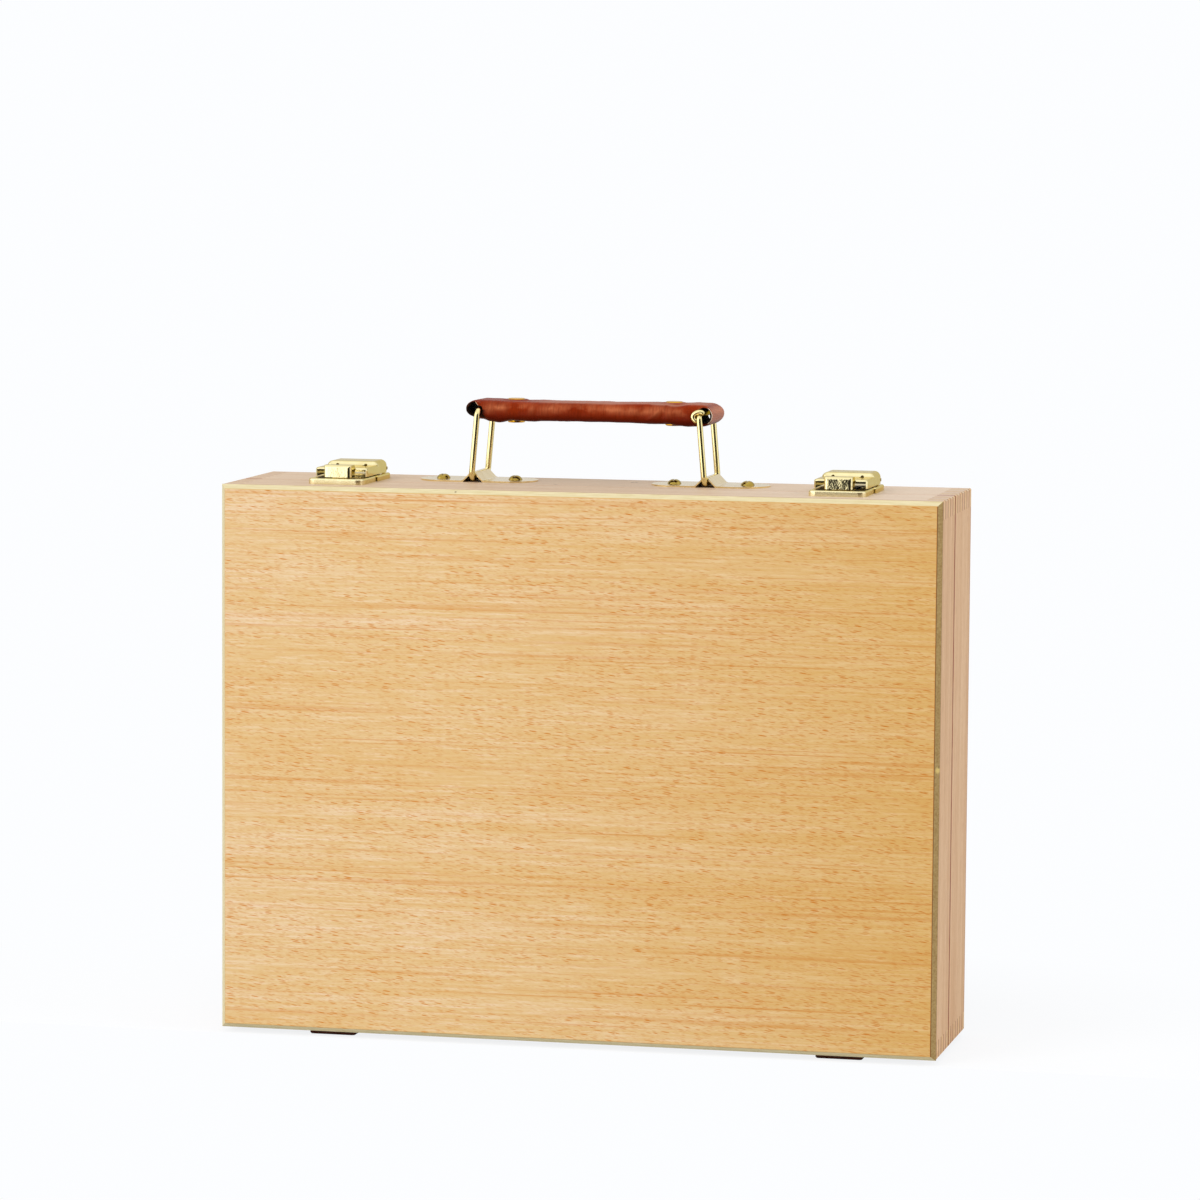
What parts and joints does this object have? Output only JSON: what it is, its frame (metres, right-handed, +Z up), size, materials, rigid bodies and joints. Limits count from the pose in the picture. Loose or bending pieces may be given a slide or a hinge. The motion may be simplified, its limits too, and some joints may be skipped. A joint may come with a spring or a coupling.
{
  "type": "pochade box",
  "caption": "Flat wooden artist's sketch box, closed and standing on its hinge side, with brass snap latches, inner compartments, a palette and a leather-gripped carrying handle.",
  "frame": {"origin": "on the ground under the middle of the closed box, as it stands on its feet with the handle up", "axes": "+X along the box, to the right of someone who faces the lid; +Y from the lid's face to the base's back; +Z up"},
  "size_m": [0.398, 0.1, 0.3489],
  "materials": {
    "plywood": "satin",
    "board_wood": "satin",
    "brass": "polished",
    "handle_leather": "satin",
    "foot_rubber": "matte"
  },
  "bodies": {
    "base": {"base_latch_rail": "board_wood", "base_hinge_rail": "board_wood", "base_side_left": "board_wood", "base_side_right": "board_wood", "base_panel": "plywood", "base_feet": "foot_rubber", "hinge_leaves_base": "brass", "hinge_screws_base": "brass", "hinge_pins": "brass", "trough_divider": "board_wood", "cell_divider_left": "board_wood", "cell_divider_right": "board_wood", "palette_ledge_left": "board_wood", "palette_ledge_right": "board_wood", "stay_pivot_left": "brass", "stay_pivot_right": "brass", "latch_base_left": "brass", "latch_base_right": "brass", "hasp_pin_left": "brass", "hasp_pin_right": "brass", "latch_screws_base": "brass", "handle_plate_left": "brass", "handle_plate_right": "brass", "handle_screws": "brass"},
    "lid": {"lid_latch_rail": "board_wood", "lid_hinge_rail": "board_wood", "lid_side_left": "board_wood", "lid_side_right": "board_wood", "lid_panel": "plywood", "lid_feet": "foot_rubber", "hinge_leaves_lid": "brass", "hinge_screws_lid": "brass", "panel_strip_lower": "board_wood", "panel_strip_upper": "board_wood", "turn_button_screws": "brass", "stay_stud_left": "brass", "stay_stud_right": "brass", "latch_catch_left": "brass", "latch_catch_right": "brass", "latch_screws_lid": "brass"},
    "stay_arm_left": {"stay_arm_left": "brass", "stay_rivet_left": "brass"},
    "stay_link_left": {"stay_link_left": "brass"},
    "thumb_nut_left": {"thumb_nut_left": "brass"},
    "turn_button_left": {"turn_button_left": "brass"},
    "hasp_left": {"hasp_left": "brass"},
    "stay_arm_right": {"stay_arm_right": "brass", "stay_rivet_right": "brass"},
    "stay_link_right": {"stay_link_right": "brass"},
    "thumb_nut_right": {"thumb_nut_right": "brass"},
    "turn_button_right": {"turn_button_right": "brass"},
    "hasp_right": {"hasp_right": "brass"},
    "bail_left": {"bail_left": "brass"},
    "bail_right": {"bail_right": "brass"},
    "grip": {"grip": "handle_leather", "grip_rivets": "brass"},
    "palette": {"palette": "plywood"}
  },
  "joints": [
    {"name": "lid_hinge", "type": "hinge", "parent": "base", "child": "lid", "pos_m": [0, -0.005, 0.0025], "axis": [1, 0, 0], "range_deg": [0, 110]},
    {"name": "stay_arm_left_pivot", "type": "hinge", "parent": "base", "child": "stay_arm_left", "pos_m": [-0.187, 0.01352, 0.03102], "axis": [1, 0, 0], "range_deg": [0, 110]},
    {"name": "stay_link_left_pivot", "type": "hinge", "parent": "stay_arm_left", "child": "stay_link_left", "pos_m": [-0.186, 0.00879, 0.06468], "axis": [1, 0, 0], "range_deg": [-110, 0]},
    {"name": "thumb_nut_left_turn", "type": "hinge", "parent": "lid", "child": "thumb_nut_left", "pos_m": [-0.182, -0.00973, 0.03617], "axis": [1, 0, 0], "continuous": true},
    {"name": "turn_button_left_turn", "type": "hinge", "parent": "lid", "child": "turn_button_left", "pos_m": [-0.1, -0.035, 0.288], "axis": [0, 1, 0], "range_deg": [-90, 90]},
    {"name": "hasp_left_hinge", "type": "hinge", "parent": "base", "child": "hasp_left", "pos_m": [-0.139, 0.021, 0.3086], "axis": [-1, 0, 0], "range_deg": [0, 95]},
    {"name": "stay_arm_right_pivot", "type": "hinge", "parent": "base", "child": "stay_arm_right", "pos_m": [0.187, 0.01352, 0.03102], "axis": [1, 0, 0], "range_deg": [0, 110]},
    {"name": "stay_link_right_pivot", "type": "hinge", "parent": "stay_arm_right", "child": "stay_link_right", "pos_m": [0.186, 0.00879, 0.06468], "axis": [1, 0, 0], "range_deg": [-110, 0]},
    {"name": "thumb_nut_right_turn", "type": "hinge", "parent": "lid", "child": "thumb_nut_right", "pos_m": [0.182, -0.00973, 0.03617], "axis": [1, 0, 0], "continuous": true},
    {"name": "turn_button_right_turn", "type": "hinge", "parent": "lid", "child": "turn_button_right", "pos_m": [0.1, -0.035, 0.288], "axis": [0, 1, 0], "range_deg": [-90, 90]},
    {"name": "hasp_right_hinge", "type": "hinge", "parent": "base", "child": "hasp_right", "pos_m": [0.139, 0.021, 0.3086], "axis": [-1, 0, 0], "range_deg": [0, 95]},
    {"name": "bail_left_hinge", "type": "hinge", "parent": "base", "child": "bail_left", "pos_m": [-0.0716, 0.0225, 0.3054], "axis": [0, 1, 0], "range_deg": [-60, 60]},
    {"name": "bail_right_hinge", "type": "hinge", "parent": "base", "child": "bail_right", "pos_m": [0.0592, 0.0225, 0.3054], "axis": [0, 1, 0], "range_deg": [-60, 60]},
    {"name": "grip_pivot", "type": "hinge", "parent": "bail_left", "child": "grip", "pos_m": [-0.06832, 0.0225, 0.34286], "axis": [0, 1, 0], "range_deg": [-63, 63]},
    {"name": "palette_slide", "type": "slide", "parent": "base", "child": "palette", "axis": [0, -1, 0], "range_m": [0, 0.02]}
  ],
  "couplings": [
    {"joint": "stay_arm_left_pivot", "follows": "lid_hinge", "ratio": 1},
    {"joint": "stay_link_left_pivot", "follows": "lid_hinge", "ratio": -1},
    {"joint": "stay_arm_right_pivot", "follows": "lid_hinge", "ratio": 1},
    {"joint": "stay_link_right_pivot", "follows": "lid_hinge", "ratio": -1},
    {"joint": "bail_right_hinge", "follows": "bail_left_hinge", "ratio": 1},
    {"joint": "grip_pivot", "follows": "bail_left_hinge", "ratio": -1.0425}
  ]
}
